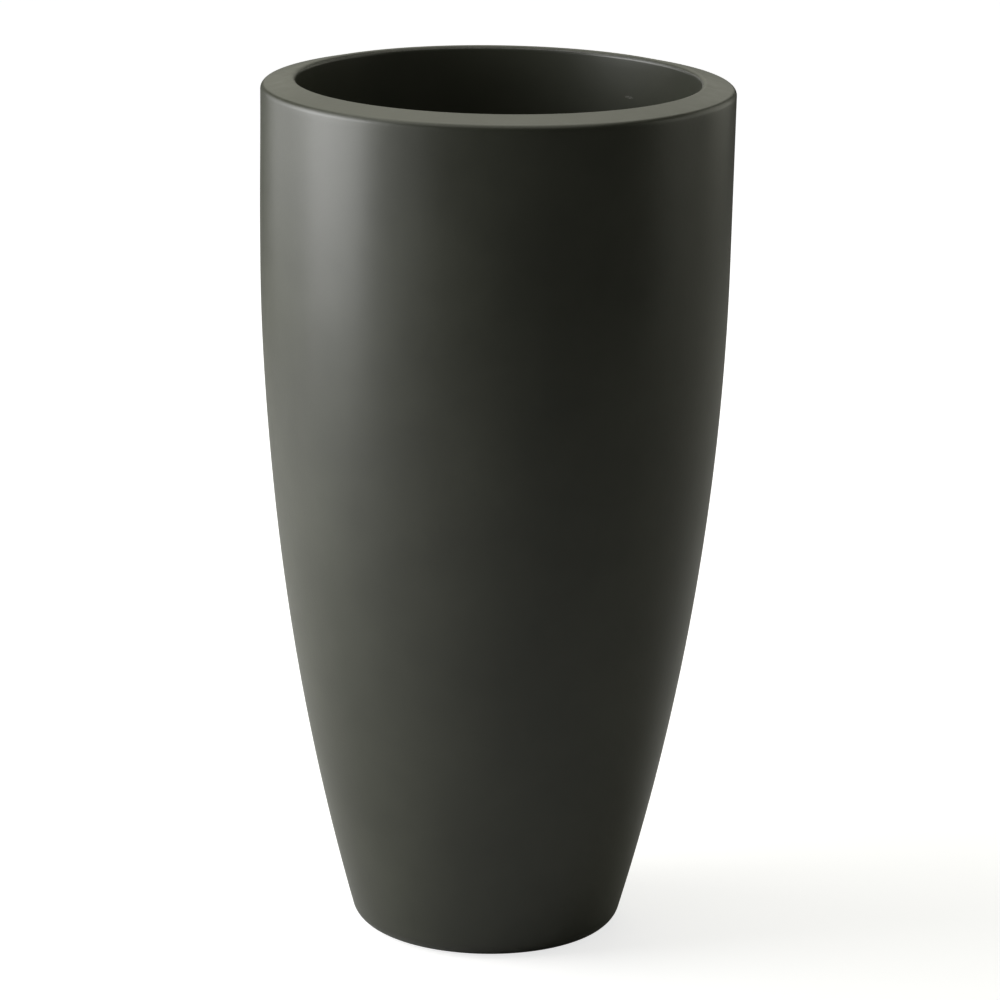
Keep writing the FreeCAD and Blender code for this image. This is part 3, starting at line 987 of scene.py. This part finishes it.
# ---------------------------------------------------------------------------------------------
# Studio: pale floor, soft lamps, white all round
# ---------------------------------------------------------------------------------------------
def make_floor_material():
    """Pale matt floor. Towards the camera it is lifted to white, and it keeps the planter's shadow."""
    made = bpy.data.materials.new("studio_floor")
    made.use_nodes = True
    tree = made.node_tree
    tree.nodes.clear()
    output = tree.nodes.new("ShaderNodeOutputMaterial")
    matt = add(tree, "ShaderNodeBsdfDiffuse", {"Color": (0.50, 0.50, 0.49, 1.0)})
    white = add(tree, "ShaderNodeEmission", {"Color": (1.0, 1.0, 1.0, 1.0)})
    seen = add(tree, "ShaderNodeLightPath").outputs["Is Camera Ray"]
    place = add(tree, "ShaderNodeTexCoord").outputs["Object"]
    distance = add(tree, "ShaderNodeVectorMath", {0: place}, operation="LENGTH").outputs["Value"]
    lift = spread(tree, distance, 0.5, 2.2, 0.74, 1.0)
    tree.links.new(calc(tree, "MULTIPLY", seen, lift), white.inputs["Strength"])
    both = add(tree, "ShaderNodeAddShader")
    tree.links.new(matt.outputs[0], both.inputs[0])
    tree.links.new(white.outputs[0], both.inputs[1])
    tree.links.new(both.outputs[0], output.inputs["Surface"])
    return made


def make_ground():
    """Flat disc of quads 24 m across, from a polar grid whose middle is merged to one point."""
    columns, rows = 64, 8
    angle = np.linspace(0.0, 2.0 * math.pi, columns, endpoint=False)[:, None]
    radius = np.linspace(0.0, 12.0, rows)[None, :]
    grid = np.stack([radius * np.cos(angle), radius * np.sin(angle), 0.0 * radius * angle], axis=-1)
    i, j, quads = lattice(columns, rows)
    keep = (j < rows - 1).ravel()
    quads = quads[keep][:, ::-1]
    uv, worn, finish = np.zeros((quads.size, 2)), np.zeros(columns * rows), np.zeros(len(quads))
    ground = mesh_piece(
        "studio_floor", grid.reshape(-1, 3), quads, uv, worn, finish, [make_floor_material()],
    )
    merged(ground)
    return ground


make_ground()


def soft_box(name, bearing, climb, distance, aim_height, size, power, colour=(1.0, 1.0, 1.0)):
    """Rectangular soft box aimed at the planter's axis. The bearing is in degrees from the front, left
    negative, and the climb in degrees above level."""
    aside, rise = math.radians(bearing), math.radians(climb)
    away = Vector((math.sin(aside) * math.cos(rise), -math.cos(aside) * math.cos(rise), math.sin(rise)))
    lamp = bpy.data.lights.new(name, "AREA")
    lamp.shape = "RECTANGLE"
    lamp.size, lamp.size_y = size
    lamp.energy = power
    lamp.color = colour
    made = bpy.data.objects.new(name, lamp)
    made.location = Vector((0.0, 0.0, aim_height)) + away * distance
    made.rotation_euler = (-away).to_track_quat("-Z", "Y").to_euler()
    made.visible_camera = False
    bpy.context.scene.collection.objects.link(made)


cream = (1.0, 1.0, 0.86)
soft_box("left_panel", -80.0, 16.0, 2.2, 0.2, (1.4, 1.3), 33.0)
soft_box("left_front_panel", -50.0, 16.0, 2.2, 0.2, (1.4, 1.3), 4.5)
soft_box("left_rear_panel", -116.0, 16.0, 2.25, 0.2, (1.6, 1.3), 10.0)
soft_box("left_wash", -90.0, 20.0, 2.6, 0.45, (2.4, 2.0), 46.0)
soft_box("left_overhead", -90.0, 55.0, 2.8, 0.45, (2.4, 2.0), 9.0)
soft_box("overhead", 0.0, 89.0, 1.25, 0.45, (1.3, 1.3), 4.8, cream)
soft_box("rear_overhead", 180.0, 55.0, 3.0, 0.45, (2.4, 1.6), 14.5, cream)
soft_box("rear_box", 180.0, 25.0, 3.4, 0.45, (2.4, 1.8), 9.5, cream)
soft_box("right_rear_box", 130.0, 15.0, 3.0, 0.45, (1.6, 2.0), 9.5, cream)
soft_box("right_wash", 95.0, 15.0, 3.0, 0.45, (1.6, 2.0), 9.0, cream)


def make_world():
    """Faint even fill, and white to the camera all round."""
    world = bpy.data.worlds.new("studio")
    world.use_nodes = True
    tree = world.node_tree
    tree.nodes.clear()
    output = tree.nodes.new("ShaderNodeOutputWorld")
    seen = add(tree, "ShaderNodeLightPath").outputs["Is Camera Ray"]
    level = spread(tree, seen, 0.0, 1.0, 0.01, 1.0)
    shine = add(tree, "ShaderNodeBackground", {"Color": (1.0, 1.0, 1.0, 1.0), "Strength": level})
    tree.links.new(shine.outputs[0], output.inputs["Surface"])
    bpy.context.scene.world = world


make_world()

# ---------------------------------------------------------------------------------------------
# Camera: 4 m in front and 0.67 m above the rim, tilted 15 degrees down
# ---------------------------------------------------------------------------------------------
turn, tilt, roll = 0.001808, 0.259808, 0.016259
ahead = Vector((math.sin(turn) * math.cos(tilt), math.cos(turn) * math.cos(tilt), -math.sin(tilt)))
level_right = Vector((math.cos(turn), -math.sin(turn), 0.0))
level_up = level_right.cross(ahead)
right = level_right * math.cos(roll) + level_up * math.sin(roll)
up = level_up * math.cos(roll) - level_right * math.sin(roll)
stand = Vector((0.0, -4.001414, 1.469315))
lens = bpy.data.cameras.new("camera")
lens.lens = 160.896
lens.sensor_width = 36.0
camera = bpy.data.objects.new("camera", lens)
camera.matrix_world = Matrix((
    (right.x, up.x, -ahead.x, stand.x),
    (right.y, up.y, -ahead.y, stand.y),
    (right.z, up.z, -ahead.z, stand.z),
    (0.0, 0.0, 0.0, 1.0),
))
bpy.context.scene.collection.objects.link(camera)
bpy.context.scene.camera = camera
bpy.context.scene.view_settings.view_transform = "Standard"
